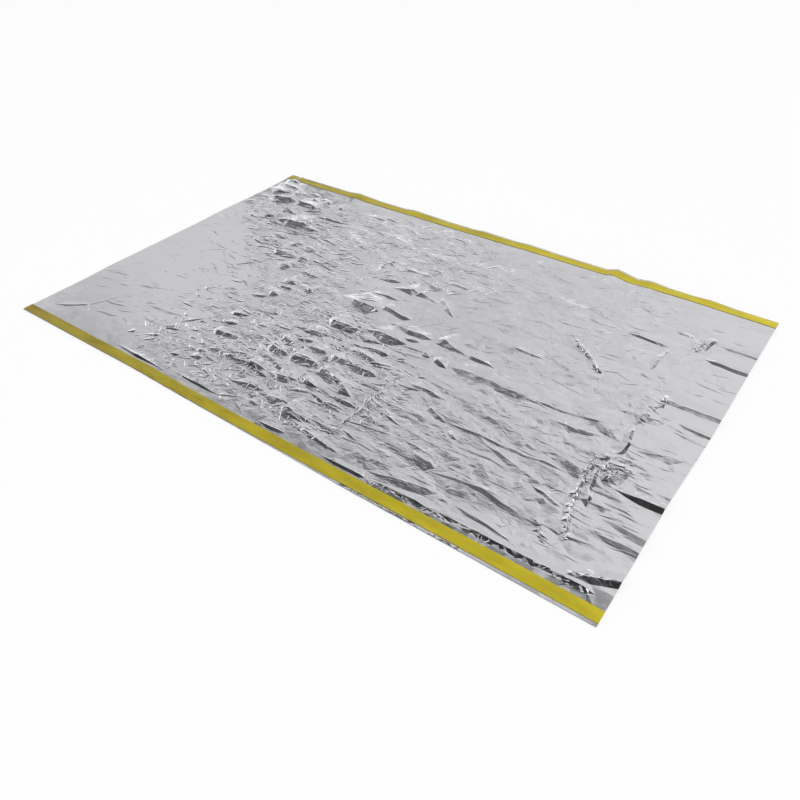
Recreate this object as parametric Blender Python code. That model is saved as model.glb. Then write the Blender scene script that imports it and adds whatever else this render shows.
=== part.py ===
"""Emergency foil blanket, laid out open on a flat surface, with its folds.

One metallised film sheet, and a yellow reinforcing tape along each long edge.

Frame: +X runs along the blanket, +Y from its near long edge to its far long
edge, +Z up. The origin is on the surface it lies on, under its middle.

All sizes are in millimetres and are scaled to metres when a mesh is made.
Places are measured from the near left corner of the sheet: x along the near
edge, y across the sheet.
"""

import math
from collections import namedtuple

import bpy
import numpy as np
from mathutils.geometry import delaunay_2d_cdt

METRES_PER_MM = 0.001

# Driving dimensions
LENGTH = 2100.0
WIDTH = 1336.0
FILM_THICKNESS = 1.2
TAPE_WIDTH = 34.0
TAPE_THICKNESS = 1.0
TAPE_GAP = 0.3

# The packed blanket's own folds: 16 strips across and 10 panels along
STRIP = 82.5
PANEL = 214.0
FIRST_PANEL_FOLD = LENGTH - 9 * PANEL
ZIGZAG_HEIGHT = 3.0
ZIGZAG_STARTS = 520.0
ZIGZAG_FULL = 1250.0
CORNER_REACH = 70.0

# How finely the film is divided into facets
EDGE_STEP = 56.0
FINE_STEP = 29.0
COARSE_STEP = 80.0
CLEAR_OF_LINES = 11.0
CRUMPLED_FROM = 1.2
MERGE_DISTANCE = 0.8

# Outline of the film: y along the two long edges, x along the two short ones
NEAR_EDGE = (
    (0, -6), (300, -4), (600, -1), (800, -4), (1100, -6),
    (1400, -8), (1750, -7), (2100, -7),
)
FAR_EDGE = (
    (0, 1336), (250, 1338), (400, 1338), (600, 1338), (750, 1338), (1000, 1337),
    (1300, 1341), (1500, 1337), (1560, 1340), (1620, 1334), (1700, 1338),
    (1950, 1329), (2100, 1327),
)
LEFT_EDGE = ((0, -9), (250, -5), (340, -10), (480, -7), (780, -3), (900, -6), (1160, 3), (1336, -2))
RIGHT_EDGE = ((0, 2098), (400, 2096), (700, 2103), (1000, 2102), (1336, 2102))

# Bare film left outside each tape: wider towards the right of the near edge
NEAR_MARGIN = ((0, 2), (1000, 2), (1700, 8), (2100, 9))
FAR_MARGIN = ((0, 8), (1700, 8), (1850, 4), (2100, 5))

# Ridges: a crest line from (x0, y0) to (x1, y1), the width and slope of its
# right-hand flank, and the shares of its length over which it rises and falls.
Fold = namedtuple("Fold", "x0 y0 x1 y1 width slope head tail")
FAR_FLANK = 2.2

TAPE_FOLDS = (
    # along the inner side of the near tape
    (420, 50, 670, 47, 10, 0.55, 0.20, 0.20),
    (700, 62, 915, 62, 9, 0.40, 0.30, 0.30),
    (1070, 45, 1170, 50, 9, 0.35, 0.40, 0.20),
    (1300, 43, 1450, 43, 8, 0.40, 0.30, 0.20),
    (1450, 50, 2065, 63, 12, 0.60, 0.25, 0.05),
    (1990, 72, 2110, 124, 16, 0.50, 0.25, 0.00),
    # bumps where the far edge stands off the surface
    (390, 1360, 400, 1250, 70, 0.12, 0.00, 1.00),
    (690, 1360, 680, 1280, 75, 0.10, 0.00, 1.00),
    (1010, 1360, 1000, 1280, 80, 0.08, 0.00, 1.00),
    (1200, 1360, 1210, 1275, 80, 0.08, 0.00, 1.00),
    (1560, 1360, 1545, 1235, 48, 0.28, 0.00, 1.00),
    (1675, 1360, 1690, 1275, 55, 0.16, 0.00, 1.00),
    (1885, 1360, 1890, 1285, 80, 0.08, 0.00, 1.00),
)

MIDDLE_FOLDS = (
    # large facets across the middle, far row to near row
    (878, 832, 968, 854, 14, 0.30, 0.50, 0.35),
    (958, 812, 1052, 838, 27, 0.30, 0.86, 0.13),
    (1050, 838, 1155, 808, 20, 0.30, 0.12, 0.86),
    (1125, 860, 1243, 768, 15, 0.30, 0.25, 0.40),
    (905, 742, 1035, 756, 14, 0.32, 0.35, 0.40),
    (1004, 694, 1134, 684, 16, 0.32, 0.08, 0.15),
    (842, 672, 1012, 662, 39, 0.30, 0.45, 0.15),
    (1084, 630, 1256, 630, 17, 0.33, 0.20, 0.20),
    (1262, 656, 1388, 620, 31, 0.28, 0.15, 0.80),
    (1374, 628, 1494, 614, 12, 0.33, 0.25, 0.50),
    (1036, 558, 1204, 568, 35, 0.30, 0.50, 0.30),
    (905, 532, 1036, 540, 26, 0.33, 0.20, 0.10),
    (1172, 588, 1224, 598, 10, 0.35, 0.30, 0.30),
    (1260, 562, 1300, 548, 13, 0.28, 0.30, 0.30),
    (1303, 560, 1366, 536, 15, 0.32, 0.30, 0.30),
    (1376, 552, 1730, 553, 24, 0.20, 0.10, 0.40),
    (1052, 514, 1106, 510, 12, 0.32, 0.50, 0.40),
    (1044, 470, 1186, 490, 16, 0.32, 0.60, 0.10),
    (1046, 450, 1206, 434, 22, 0.30, 0.40, 0.30),
    (836, 444, 976, 462, 17, 0.28, 0.50, 0.20),
    (884, 398, 966, 412, 10, 0.32, 0.40, 0.20),
    (1044, 390, 1226, 385, 23, 0.28, 0.10, 0.20),
    (834, 380, 906, 374, 20, 0.28, 0.40, 0.20),
    (936, 384, 1036, 388, 20, 0.26, 0.20, 0.20),
)

NEAR_FOLDS = (
    # the broad arc and the rows of facets below it
    (834, 322, 932, 318, 24, 0.30, 0.25, 0.15),
    (934, 322, 1046, 326, 24, 0.33, 0.16, 0.14),
    (1046, 326, 1156, 306, 31, 0.32, 0.18, 0.20),
    (1136, 312, 1218, 268, 24, 0.30, 0.30, 0.40),
    (836, 219, 936, 219, 20, 0.32, 0.30, 0.20),
    (945, 218, 1036, 238, 24, 0.30, 0.40, 0.15),
    (1040, 250, 1120, 246, 14, 0.28, 0.30, 0.50),
    (1104, 217, 1256, 202, 9, 0.32, 0.20, 0.30),
    (1174, 247, 1264, 241, 12, 0.28, 0.30, 0.30),
    (864, 130, 994, 150, 16, 0.32, 0.50, 0.30),
    (976, 134, 1076, 148, 20, 0.28, 0.60, 0.20),
    (1086, 126, 1206, 121, 31, 0.32, 0.12, 0.70),
    (1134, 96, 1366, 71, 14, 0.32, 0.20, 0.30),
    (880, 205, 960, 196, 12, 0.28, 0.40, 0.40),
    (975, 96, 1030, 90, 14, 0.26, 0.50, 0.40),
)

STROKE_FOLDS = (
    # short slanted ridges where the smooth left part meets the crumpled middle
    (406, 104, 428, 134, 10, 0.40, 0.20, 0.20),
    (473, 141, 512, 158, 11, 0.40, 0.20, 0.20),
    (488, 191, 551, 220, 10, 0.40, 0.15, 0.20),
    (498, 242, 562, 312, 10, 0.34, 0.20, 0.20),
    (624, 274, 756, 300, 16, 0.32, 0.20, 0.35),
    (604, 380, 674, 404, 11, 0.34, 0.20, 0.35),
    (624, 326, 684, 346, 11, 0.34, 0.40, 0.20),
    (662, 176, 706, 180, 10, 0.34, 0.40, 0.20),
    (672, 138, 718, 156, 13, 0.34, 0.60, 0.15),
    (612, 114, 650, 129, 10, 0.36, 0.50, 0.20),
    (696, 194, 744, 220, 12, 0.34, 0.50, 0.25),
    (758, 196, 798, 222, 12, 0.34, 0.50, 0.25),
    (578, 502, 634, 526, 11, 0.34, 0.30, 0.20),
    (52, 74, 158, 136, 8, 0.16, 0.40, 0.10),
    (158, 136, 212, 246, 8, 0.16, 0.10, 0.30),
)

FAR_LEFT_FOLDS = (
    # slanted ridges in the far left corner, then broad facets beside them
    (118, 1150, 22, 1262, 20, 0.42, 0.15, 0.35),
    (176, 1178, 78, 1290, 20, 0.42, 0.15, 0.35),
    (62, 1106, 200, 1138, 34, 0.36, 0.40, 0.20),
    (204, 1142, 322, 1136, 24, 0.36, 0.10, 0.15),
    (238, 972, 400, 992, 38, 0.35, 0.45, 0.10),
    (384, 976, 466, 980, 17, 0.34, 0.10, 0.60),
    (186, 1058, 296, 1048, 22, 0.30, 0.30, 0.50),
    (374, 1076, 506, 1096, 11, 0.34, 0.30, 0.30),
    (176, 998, 214, 968, 22, 0.32, 0.20, 0.30),
    (232, 1196, 294, 1182, 15, 0.28, 0.30, 0.30),
    (302, 1202, 346, 1196, 18, 0.26, 0.30, 0.30),
    (374, 1214, 424, 1184, 16, 0.30, 0.20, 0.30),
    (552, 1208, 636, 1206, 10, 0.30, 0.20, 0.30),
    (604, 1226, 690, 1216, 11, 0.30, 0.30, 0.40),
    (344, 930, 526, 936, 10, 0.28, 0.20, 0.20),
    (-10, 868, 98, 862, 9, 0.12, 0.00, 0.40),
)

LEFT_MIDDLE_FOLDS = (
    (304, 874, 406, 870, 13, 0.28, 0.40, 0.30),
    (434, 868, 486, 842, 22, 0.28, 0.20, 0.40),
    (504, 860, 566, 854, 26, 0.26, 0.30, 0.30),
    (304, 820, 362, 816, 12, 0.28, 0.40, 0.30),
    (412, 810, 506, 818, 12, 0.30, 0.30, 0.30),
    (424, 778, 536, 782, 24, 0.28, 0.15, 0.30),
    (536, 778, 588, 784, 24, 0.28, 0.30, 0.30),
    (504, 716, 568, 712, 27, 0.28, 0.50, 0.20),
    (604, 714, 706, 716, 15, 0.26, 0.30, 0.30),
    (604, 648, 666, 634, 24, 0.28, 0.20, 0.40),
    (716, 644, 756, 634, 24, 0.28, 0.30, 0.30),
    (622, 598, 676, 602, 10, 0.34, 0.20, 0.20),
    (624, 554, 668, 548, 22, 0.28, 0.30, 0.30),
    (734, 1012, 765, 972, 9, 0.30, 0.20, 0.30),
    (794, 978, 853, 882, 9, 0.30, 0.20, 0.20),
    (614, 893, 674, 832, 8, 0.28, 0.20, 0.30),
)

RIGHT_FOLDS = (
    # near right
    (1304, 417, 1456, 413, 12, 0.30, 0.20, 0.30),
    (1284, 309, 1506, 312, 22, 0.18, 0.10, 0.40),
    (1424, 361, 1506, 336, 16, 0.28, 0.15, 0.40),
    (1504, 338, 1856, 354, 8, 0.26, 0.15, 0.15),
    (1486, 186, 1576, 176, 29, 0.24, 0.50, 0.20),
    (1604, 190, 1876, 161, 16, 0.20, 0.20, 0.30),
    (1434, 68, 1626, 108, 23, 0.26, 0.60, 0.15),
    (1684, 98, 1886, 80, 8, 0.28, 0.20, 0.30),
    (1456, 208, 1516, 206, 14, 0.26, 0.50, 0.40),
    (1524, 314, 1566, 294, 10, 0.28, 0.20, 0.30),
    (1654, 328, 1746, 300, 17, 0.22, 0.20, 0.30),
    (1964, 363, 2110, 371, 22, 0.42, 0.20, 0.00),
    (1984, 264, 2110, 256, 20, 0.20, 0.30, 0.00),
    (1954, 221, 2110, 216, 16, 0.18, 0.20, 0.00),
    (1804, 262, 1896, 237, 8, 0.30, 0.20, 0.20),
    # far right
    (1952, 524, 2076, 552, 24, 0.24, 0.90, 0.10),
    (1734, 506, 1866, 521, 14, 0.20, 0.40, 0.20),
    (1534, 1018, 1726, 1014, 12, 0.16, 0.20, 0.20),
    (1732, 1010, 1876, 1006, 9, 0.30, 0.20, 0.20),
    (1974, 1005, 2110, 1002, 12, 0.32, 0.20, 0.00),
    (1862, 1098, 1916, 1093, 8, 0.28, 0.20, 0.20),
    (1992, 1098, 2110, 1093, 9, 0.28, 0.20, 0.00),
    (1934, 761, 2110, 761, 16, 0.20, 0.10, 0.00),
    (1894, 708, 1966, 687, 12, 0.24, 0.20, 0.30),
    (1904, 660, 1986, 662, 20, 0.20, 0.20, 0.20),
    (2012, 683, 2110, 678, 8, 0.26, 0.20, 0.00),
    (1474, 742, 1586, 732, 9, 0.26, 0.30, 0.40),
    (904, 943, 1042, 941, 9, 0.28, 0.20, 0.20),
    (1102, 948, 1192, 948, 9, 0.28, 0.20, 0.20),
    (1052, 892, 1126, 896, 16, 0.16, 0.30, 0.30),
)

CROSS_FOLDS = (
    # ridges that run across the blanket, on the folds between its panels
    (1936, 167, 1901, 290, 8, 0.45, 0.15, 0.05),
    (1901, 290, 1890, 430, 8, 0.40, 0.05, 0.20),
    (1938, 275, 1908, 410, 8, 0.60, 0.20, 0.20),
    (1934, 474, 1912, 640, 8, 0.50, 0.15, 0.40),
    (1905, 440, 1968, 470, 16, 0.40, 0.20, 0.20),
    (1864, 865, 1868, 1000, 8, 0.30, 0.20, 0.20),
    (1634, 880, 1756, 766, 11, 0.34, 0.30, 0.15),
    (1276, 400, 1272, 120, 5, 0.40, 0.15, 0.15),
    (1036, 480, 1036, 225, 5, 0.45, 0.10, 0.10),
    (1960, 1040, 1968, 1130, 10, 0.34, 0.40, 0.20),
)

FOLDS = tuple(
    Fold(*row)
    for table in (
        TAPE_FOLDS,
        MIDDLE_FOLDS,
        NEAR_FOLDS,
        STROKE_FOLDS,
        FAR_LEFT_FOLDS,
        LEFT_MIDDLE_FOLDS,
        RIGHT_FOLDS,
        CROSS_FOLDS,
    )
    for row in table
)

# Patches where the film is crumpled into small facets
Patch = namedtuple("Patch", "x y reach_x reach_y height")
PATCHES = tuple(
    Patch(*row)
    for row in (
        (960, 330, 420, 300, 8.0),
        (740, 480, 300, 330, 6.5),
        (1080, 160, 360, 150, 7.0),
        (640, 730, 300, 190, 5.5),
        (880, 560, 330, 260, 5.5),
        (440, 860, 260, 110, 4.5),
        (230, 1090, 230, 130, 6.0),
        (90, 1220, 160, 90, 5.0),
        (600, 1030, 260, 120, 3.0),
        (1420, 240, 330, 220, 4.5),
        (1700, 330, 420, 330, 3.0),
        (1560, 100, 300, 80, 4.0),
        (1930, 430, 70, 90, 7.0),
        (1900, 690, 60, 140, 4.5),
        (1950, 1060, 60, 80, 4.5),
        (1580, 1200, 180, 110, 2.5),
    )
)
PATCH_EDGE = 0.55

# Facet noise: lattice cells, share of the height, seed
Layer = namedtuple("Layer", "cell_x cell_y share seed")
LAYERS = (Layer(74, 34, 0.62, 11), Layer(31, 19, 0.38, 23))
LATTICE = 64


def line(table, at):
    """Read a table of two columns, straight between its rows."""
    return np.interp(at, [row[0] for row in table], [row[1] for row in table])


def warp(x, y):
    """Bend the plan a little, so that facets don't line up in rows."""
    u = x + 13 * np.sin(y / 61 + 1.3) + 8 * np.sin(x / 47 + y / 23)
    v = y + 8 * np.sin(x / 83 + 0.4) + 5 * np.sin(x / 37 - y / 29)
    return u, v


def facet_noise(x, y, layer):
    """Heights from 0 to 1, flat on each triangle of a skewed lattice."""
    table = np.random.default_rng(layer.seed).random((LATTICE, LATTICE))
    v = y / layer.cell_y
    u = x / layer.cell_x + 0.4 * v
    column = np.floor(u).astype(int)
    row = np.floor(v).astype(int)
    u = u - column
    v = v - row

    def corner(i, j):
        return table[(row + j) % LATTICE, (column + i) % LATTICE]

    lower = corner(0, 0) + u * (corner(1, 0) - corner(0, 0)) + v * (corner(0, 1) - corner(0, 0))
    upper = corner(1, 1) + (1 - u) * (corner(0, 1) - corner(1, 1))
    upper = upper + (1 - v) * (corner(1, 0) - corner(1, 1))
    return np.where(u + v < 1, lower, upper)


def crumple_strength(x, y):
    """How high the crumpled film may stand at each place."""
    strength = np.zeros_like(x)
    for patch in PATCHES:
        away = np.hypot((x - patch.x) / patch.reach_x, (y - patch.y) / patch.reach_y)
        fade = np.clip((1 - away) / PATCH_EDGE, 0, 1)
        strength = np.maximum(strength, patch.height * fade)
    return strength


def crumple_height(x, y):
    """Small facets, only inside the crumpled patches."""
    u, v = warp(x, y)
    noise = sum(layer.share * facet_noise(u, v, layer) for layer in LAYERS)
    return crumple_strength(x, y) * noise


def ramp(along, share):
    """Rise from 0 to 1 over a share of the length, or at once for no share."""
    if share == 0:
        return np.ones_like(along)
    return along / share


def fold_height(fold, x, y):
    """One ridge: a roof over its crest line, hipped at both ends."""
    run_x = fold.x1 - fold.x0
    run_y = fold.y1 - fold.y0
    length = math.hypot(run_x, run_y)
    along = ((x - fold.x0) * run_x + (y - fold.y0) * run_y) / length ** 2
    aside = ((y - fold.y0) * run_x - (x - fold.x0) * run_y) / length
    flank = np.where(aside < 0, fold.width, fold.width * FAR_FLANK)
    rise = np.minimum(ramp(along, fold.head), ramp(1 - along, fold.tail))
    rise = np.minimum(rise, 1)
    height = fold.width * fold.slope
    return height * np.maximum(rise - np.abs(aside) / flank, 0)


def zigzag(at, pitch):
    """Up and down between neighbouring packing folds, from 0 to 1."""
    return 1 - np.abs((at / pitch) % 2 - 1)


def packing_height(x, y):
    """The shallow zigzag that the packed blanket's folds leave in it."""
    strength = np.clip((x - ZIGZAG_STARTS) / (ZIGZAG_FULL - ZIGZAG_STARTS), 0, 1)
    strips = zigzag(y, STRIP)
    panels = 1 - zigzag(x - FIRST_PANEL_FOLD, PANEL)
    return ZIGZAG_HEIGHT * strength * (0.7 * strips + 0.3 * panels)


def corner_share(x, y):
    """0 at the sheet's four corners, which lie flat, and 1 away from them."""
    share = np.ones_like(x)
    for edge in (NEAR_EDGE, FAR_EDGE):
        for side, along in ((LEFT_EDGE, 0), (RIGHT_EDGE, LENGTH)):
            corner_y = line(edge, along)
            corner_x = line(side, corner_y)
            away = np.hypot(x - corner_x, y - corner_y)
            share = np.minimum(share, away / CORNER_REACH)
    return share


def film_height(x, y):
    """Height of the film's underside above the surface that it lies on."""
    ridges = np.zeros_like(x)
    for fold in FOLDS:
        ridges = np.maximum(ridges, fold_height(fold, x, y))
    height = ridges + crumple_height(x, y) + packing_height(x, y)
    return height * corner_share(x, y)


def stations(length):
    """Evenly spaced places along an edge, about one EDGE_STEP apart."""
    return np.linspace(0, length, round(length / EDGE_STEP) + 1)


def long_line(offset_of):
    """A line along the blanket, from short edge to short edge."""
    points = []
    for share in stations(LENGTH) / LENGTH:
        y = float(offset_of(share * LENGTH))
        left = line(LEFT_EDGE, y)
        right = line(RIGHT_EDGE, y)
        points.append((float(left + share * (right - left)), y))
    return points


def near_edge(x):
    return line(NEAR_EDGE, x)


def far_edge(x):
    return line(FAR_EDGE, x)


def near_tape_outer(x):
    return near_edge(x) + line(NEAR_MARGIN, x)


def near_tape_inner(x):
    return near_tape_outer(x) + TAPE_WIDTH


def far_tape_outer(x):
    return far_edge(x) - line(FAR_MARGIN, x)


def far_tape_inner(x):
    return far_tape_outer(x) - TAPE_WIDTH


def short_line(edge, start, end):
    """Points along a short edge, between the far ends of two long lines."""
    count = round((end - start) / EDGE_STEP)
    heights = np.linspace(start, end, count + 1)[1:-1]
    return [(float(line(edge, y)), float(y)) for y in heights]


def fold_lines(fold):
    """The crest, the two feet and the hips of one ridge, as point pairs."""
    start = np.array((fold.x0, fold.y0), dtype=float)
    end = np.array((fold.x1, fold.y1), dtype=float)
    along = end - start
    left = np.array((-along[1], along[0])) / np.hypot(*along)
    knee_a = start + along * fold.head
    knee_b = end - along * fold.tail
    near_a = knee_a - left * fold.width
    near_b = knee_b - left * fold.width
    far_a = knee_a + left * fold.width * FAR_FLANK
    far_b = knee_b + left * fold.width * FAR_FLANK
    loop = [start, near_a, near_b, end, far_b, far_a, start]
    crest = [start, knee_a, knee_b, end]
    return list(zip(loop, loop[1:])) + list(zip(crest, crest[1:]))


def inside_film(x, y, clearance):
    """Whether places lie on the film, at least the clearance inside its edges."""
    return (
        (y > near_edge(x) + clearance)
        & (y < far_edge(x) - clearance)
        & (x > line(LEFT_EDGE, y) + clearance)
        & (x < line(RIGHT_EDGE, y) - clearance)
    )


def lattice(step):
    """Staggered rows of points over the whole sheet, each moved a little."""
    rng = np.random.default_rng(round(step))
    rows = np.arange(step / 2, WIDTH, step * 0.8)
    columns = np.arange(step / 2, LENGTH, step)
    x, y = np.meshgrid(columns, rows)
    x[1::2] += step / 2
    x += step * 0.5 * (rng.random(x.shape) - 0.5)
    y += step * 0.4 * (rng.random(y.shape) - 0.5)
    return x.ravel(), y.ravel()


def clear_of(x, y, segments, distance):
    """Which points keep their distance from every segment."""
    nearest = np.full(x.shape, np.inf)
    for (ax, ay), (bx, by) in segments:
        run_x = bx - ax
        run_y = by - ay
        squared = max(run_x ** 2 + run_y ** 2, 1e-9)
        share = np.clip(((x - ax) * run_x + (y - ay) * run_y) / squared, 0, 1)
        away = np.hypot(x - ax - share * run_x, y - ay - share * run_y)
        nearest = np.minimum(nearest, away)
    return nearest > distance


def film_triangles():
    """The film's plan, cut into triangles along its folds and its tapes."""
    bounds = {
        "near": long_line(near_edge),
        "near_outer": long_line(near_tape_outer),
        "near_inner": long_line(near_tape_inner),
        "far_inner": long_line(far_tape_inner),
        "far_outer": long_line(far_tape_outer),
        "far": long_line(far_edge),
    }
    left = short_line(LEFT_EDGE, bounds["near_inner"][0][1], bounds["far_inner"][0][1])
    right = short_line(RIGHT_EDGE, bounds["near_inner"][-1][1], bounds["far_inner"][-1][1])
    rim = list(bounds["near"])
    rim += [bounds["near_outer"][-1], bounds["near_inner"][-1]] + right
    rim += [bounds["far_inner"][-1], bounds["far_outer"][-1]] + bounds["far"][::-1]
    rim += [bounds["far_outer"][0], bounds["far_inner"][0]] + left[::-1]
    rim += [bounds["near_inner"][0], bounds["near_outer"][0]]

    segments = list(zip(rim, rim[1:] + rim[:1]))
    for name in ("near_outer", "near_inner", "far_inner", "far_outer"):
        segments += list(zip(bounds[name], bounds[name][1:]))
    for fold in FOLDS:
        segments += fold_lines(fold)

    points = list(rim)
    edges = []
    for start, end in segments:
        edges.append((len(points), len(points) + 1))
        points += [start, end]
    for step, crumpled in ((FINE_STEP, True), (COARSE_STEP, False)):
        x, y = lattice(step)
        keep = inside_film(x, y, CLEAR_OF_LINES)
        keep &= (crumple_strength(x, y) > CRUMPLED_FROM) == crumpled
        keep &= clear_of(x, y, segments, CLEAR_OF_LINES)
        points += list(zip(x[keep], y[keep]))

    result = delaunay_2d_cdt(
        [(float(x), float(y)) for x, y in points],
        edges,
        [list(range(len(rim)))],
        1,
        MERGE_DISTANCE,
        False,
    )
    plan = np.array([tuple(point) for point in result[0]])
    triangles = np.array([list(face) for face in result[2]])
    centre = plan[triangles].mean(axis=1)
    kept = inside_film(centre[:, 0], centre[:, 1], 0)
    return plan, triangles[kept]


def tape_triangles(plan, triangles, inner, outer):
    """The triangles of the film that a tape covers."""
    centre = plan[triangles].mean(axis=1)
    low = np.minimum(inner(centre[:, 0]), outer(centre[:, 0]))
    high = np.maximum(inner(centre[:, 0]), outer(centre[:, 0]))
    covered = (centre[:, 1] > low) & (centre[:, 1] < high)
    return triangles[covered]


def rim_edges(triangles):
    """The directed edges that only one triangle has."""
    directed = {}
    for a, b, c in triangles:
        for edge in ((a, b), (b, c), (c, a)):
            directed[edge] = True
    return [(a, b) for a, b in directed if (b, a) not in directed]


def make_sheet(name, plan, triangles, under, thickness, material):
    """A closed sheet: its top, its underside and a wall round its rim."""
    used, compact = np.unique(triangles, return_inverse=True)
    compact = compact.reshape(triangles.shape)
    count = len(used)
    bottom = np.column_stack((plan[used], under[used]))
    top = bottom + np.array((0, 0, thickness))
    vertices = np.vstack((bottom, top)) * METRES_PER_MM
    faces = [tuple(int(i) + count for i in face) for face in compact]
    faces += [tuple(int(i) for i in face[::-1]) for face in compact]
    faces += [
        (int(a), int(b), int(b) + count, int(a) + count)
        for a, b in rim_edges([tuple(face) for face in compact])
    ]
    mesh = bpy.data.meshes.new(name)
    mesh.from_pydata(vertices.tolist(), [], faces)
    mesh.materials.append(material)
    sheet = bpy.data.objects.new(name, mesh)
    bpy.context.scene.collection.objects.link(sheet)
    return sheet


def make_material(name, colour, roughness, metallic):
    material = bpy.data.materials.new(name)
    material.use_nodes = True
    shader = material.node_tree.nodes["Principled BSDF"]
    shader.inputs["Base Color"].default_value = (*colour, 1)
    shader.inputs["Roughness"].default_value = roughness
    shader.inputs["Metallic"].default_value = metallic
    return material


def clear_scene():
    for leftover in list(bpy.data.objects):
        bpy.data.objects.remove(leftover)


def main():
    clear_scene()
    foil = make_material("metallised_film", (0.78, 0.79, 0.81), 0.22, 1.0)
    yellow = make_material("yellow_tape", (0.52, 0.44, 0.03), 0.42, 0.0)
    plan, triangles = film_triangles()
    under = film_height(plan[:, 0], plan[:, 1])
    on_film = under + FILM_THICKNESS + TAPE_GAP
    near = tape_triangles(plan, triangles, near_tape_inner, near_tape_outer)
    far = tape_triangles(plan, triangles, far_tape_inner, far_tape_outer)
    corners = plan[np.unique(triangles)]
    placed = plan - (corners.min(axis=0) + corners.max(axis=0)) / 2
    make_sheet("foil_sheet", placed, triangles, under, FILM_THICKNESS, foil)
    make_sheet("near_edge_tape", placed, near, on_film, TAPE_THICKNESS, yellow)
    make_sheet("far_edge_tape", placed, far, on_film, TAPE_THICKNESS, yellow)


main()
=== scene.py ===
"""Looks of the emergency foil blanket, laid out open on a pale studio floor.

The film is a thin closed sheet on its solid's folds, with finer wrinkles and
facets added, and the two yellow tapes lie on it as on the solids.

Sizes are in millimetres, as in the part's own source, and are scaled to
metres when a mesh is made. Places are measured from the near left corner of
the sheet: x along the near edge, y across the sheet.
"""

import math
from collections import namedtuple

import bpy
import numpy as np
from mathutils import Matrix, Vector
from mathutils.geometry import delaunay_2d_cdt
from mathutils.kdtree import KDTree


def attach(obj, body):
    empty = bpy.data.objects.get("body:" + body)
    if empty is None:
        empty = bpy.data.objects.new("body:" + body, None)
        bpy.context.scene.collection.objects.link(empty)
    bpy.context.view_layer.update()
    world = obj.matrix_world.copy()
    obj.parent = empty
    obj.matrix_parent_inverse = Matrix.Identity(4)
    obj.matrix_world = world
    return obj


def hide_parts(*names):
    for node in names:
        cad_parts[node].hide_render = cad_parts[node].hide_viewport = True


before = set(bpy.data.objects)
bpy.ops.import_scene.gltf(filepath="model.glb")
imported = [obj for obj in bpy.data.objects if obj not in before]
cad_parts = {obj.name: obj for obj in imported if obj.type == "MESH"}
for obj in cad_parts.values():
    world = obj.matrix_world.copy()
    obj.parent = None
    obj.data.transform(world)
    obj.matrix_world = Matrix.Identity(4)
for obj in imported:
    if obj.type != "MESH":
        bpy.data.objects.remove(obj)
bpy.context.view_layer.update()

METRES_PER_MM = 0.001


def rows(kind, *table):
    """A table whose rows are named tuples of one kind."""
    return tuple(kind(*row) for row in table)


# Driving dimensions
LENGTH = 2100.0
WIDTH = 1336.0
FILM_THICKNESS = 1.2
TAPE_WIDTH = 34.0
TAPE_THICKNESS = 1.0
TAPE_GAP = 0.3

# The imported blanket's own folds: 16 strips across, with 16 mm over under the
# far tape, and 10 panels along
STRIP = 82.5
PANEL = 214.0
STRIPS = 16
PANELS = 10
FIRST_PANEL_FOLD = LENGTH - (PANELS - 1) * PANEL
ZIGZAG_HEIGHT = 3.0
STRIP_SHARE = 0.7
PANEL_SHARE = 0.3
ZIGZAG_STARTS = 520.0
ZIGZAG_FULL = 1250.0
CORNER_REACH = 70.0

# Outline of the film: y along the two long edges, x along the two short ones
NEAR_EDGE = (
    (0, -6), (300, -4), (600, -1), (800, -4), (1100, -6),
    (1400, -8), (1750, -7), (2100, -7),
)
FAR_EDGE = (
    (0, 1336), (250, 1338), (400, 1338), (600, 1338), (750, 1338), (1000, 1337),
    (1300, 1341), (1500, 1337), (1560, 1340), (1620, 1334), (1700, 1338),
    (1950, 1329), (2100, 1327),
)
LEFT_EDGE = ((0, -9), (250, -5), (340, -10), (480, -7), (780, -3), (900, -6), (1160, 3), (1336, -2))
RIGHT_EDGE = ((0, 2098), (400, 2096), (700, 2103), (1000, 2102), (1336, 2102))

# Bare film left outside each tape: wider towards the right of the near edge
NEAR_MARGIN = ((0, 2), (1000, 2), (1700, 8), (2100, 9))
FAR_MARGIN = ((0, 8), (1700, 8), (1850, 4), (2100, 5))

# Ridges: a crest line from (x0, y0) to (x1, y1), the width and slope of its
# right-hand flank, and the shares of its length over which it rises and falls.
Fold = namedtuple("Fold", "x0 y0 x1 y1 width slope head tail")
FAR_FLANK = 2.2

TAPE_FOLDS = (
    # along the inner side of the near tape
    (420, 50, 670, 47, 8, 0.60, 0.45, 0.45),
    (700, 60, 915, 60, 7, 0.45, 0.40, 0.40),
    (1070, 45, 1170, 50, 9, 0.35, 0.40, 0.20),
    (1300, 43, 1450, 46, 8, 0.45, 0.40, 0.10),
    (1450, 50, 2065, 63, 12, 0.60, 0.25, 0.05),
    (1990, 72, 2110, 124, 14, 0.56, 0.40, 0.00),
    # bumps where the far edge stands off the surface
    (390, 1360, 400, 1250, 70, 0.12, 0.00, 1.00),
    (690, 1360, 680, 1280, 75, 0.10, 0.00, 1.00),
    (1010, 1360, 1000, 1280, 80, 0.08, 0.00, 1.00),
    (1200, 1360, 1210, 1275, 80, 0.08, 0.00, 1.00),
    (1560, 1360, 1545, 1235, 48, 0.28, 0.00, 1.00),
    (1675, 1360, 1690, 1275, 55, 0.16, 0.00, 1.00),
    (1885, 1360, 1890, 1285, 80, 0.08, 0.00, 1.00),
)

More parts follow.
